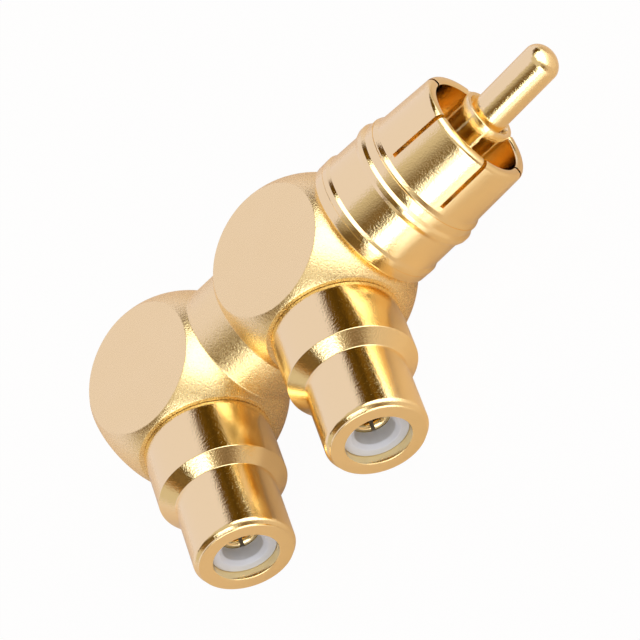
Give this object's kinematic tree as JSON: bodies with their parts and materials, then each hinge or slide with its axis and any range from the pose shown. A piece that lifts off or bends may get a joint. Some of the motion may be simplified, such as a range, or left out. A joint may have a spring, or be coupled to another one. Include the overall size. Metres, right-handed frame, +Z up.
{
  "type": "rca splitter adapter",
  "caption": "Solid phono splitter adapter: a plug with a split collar feeds jacks side by side, in a body of joined balls with milled flats.",
  "frame": {"origin": "middle of the milled flat under the front ball, the one that carries the plug, at the level of the surface that the adapter rests on", "axes": "+X along the plug's axis towards the tip of its pin, -Y along both jacks towards their mouths, +Z up, square to the milled flats"},
  "size_m": [0.048, 0.0258, 0.0119],
  "materials": {
    "satin_gold": "bead blasted, gold plated brass",
    "bright_gold": "polished, gold plated brass",
    "turned_brass": "plain turned brass, hidden inside",
    "white_acetal": "turned white acetal",
    "natural_acetal": "turned natural acetal, hidden inside"
  },
  "bodies": {
    "root": {"body_shell": "satin_gold", "plug_base": "bright_gold", "split_collar": "bright_gold", "centre_pin": "bright_gold", "plug_front_insulator": "natural_acetal", "plug_rear_insulator": "natural_acetal", "plug_retaining_ring": "turned_brass", "signal_rod": "turned_brass", "neck_sleeve": "natural_acetal", "rod_end_bush": "natural_acetal", "front_jack_shell": "bright_gold", "front_jack_insulator": "white_acetal", "front_jack_contact": "bright_gold", "front_jack_rear_insulator": "natural_acetal", "front_jack_retaining_ring": "turned_brass", "rear_jack_shell": "bright_gold", "rear_jack_insulator": "white_acetal", "rear_jack_contact": "bright_gold", "rear_jack_rear_insulator": "natural_acetal", "rear_jack_retaining_ring": "turned_brass"}
  },
  "joints": []
}
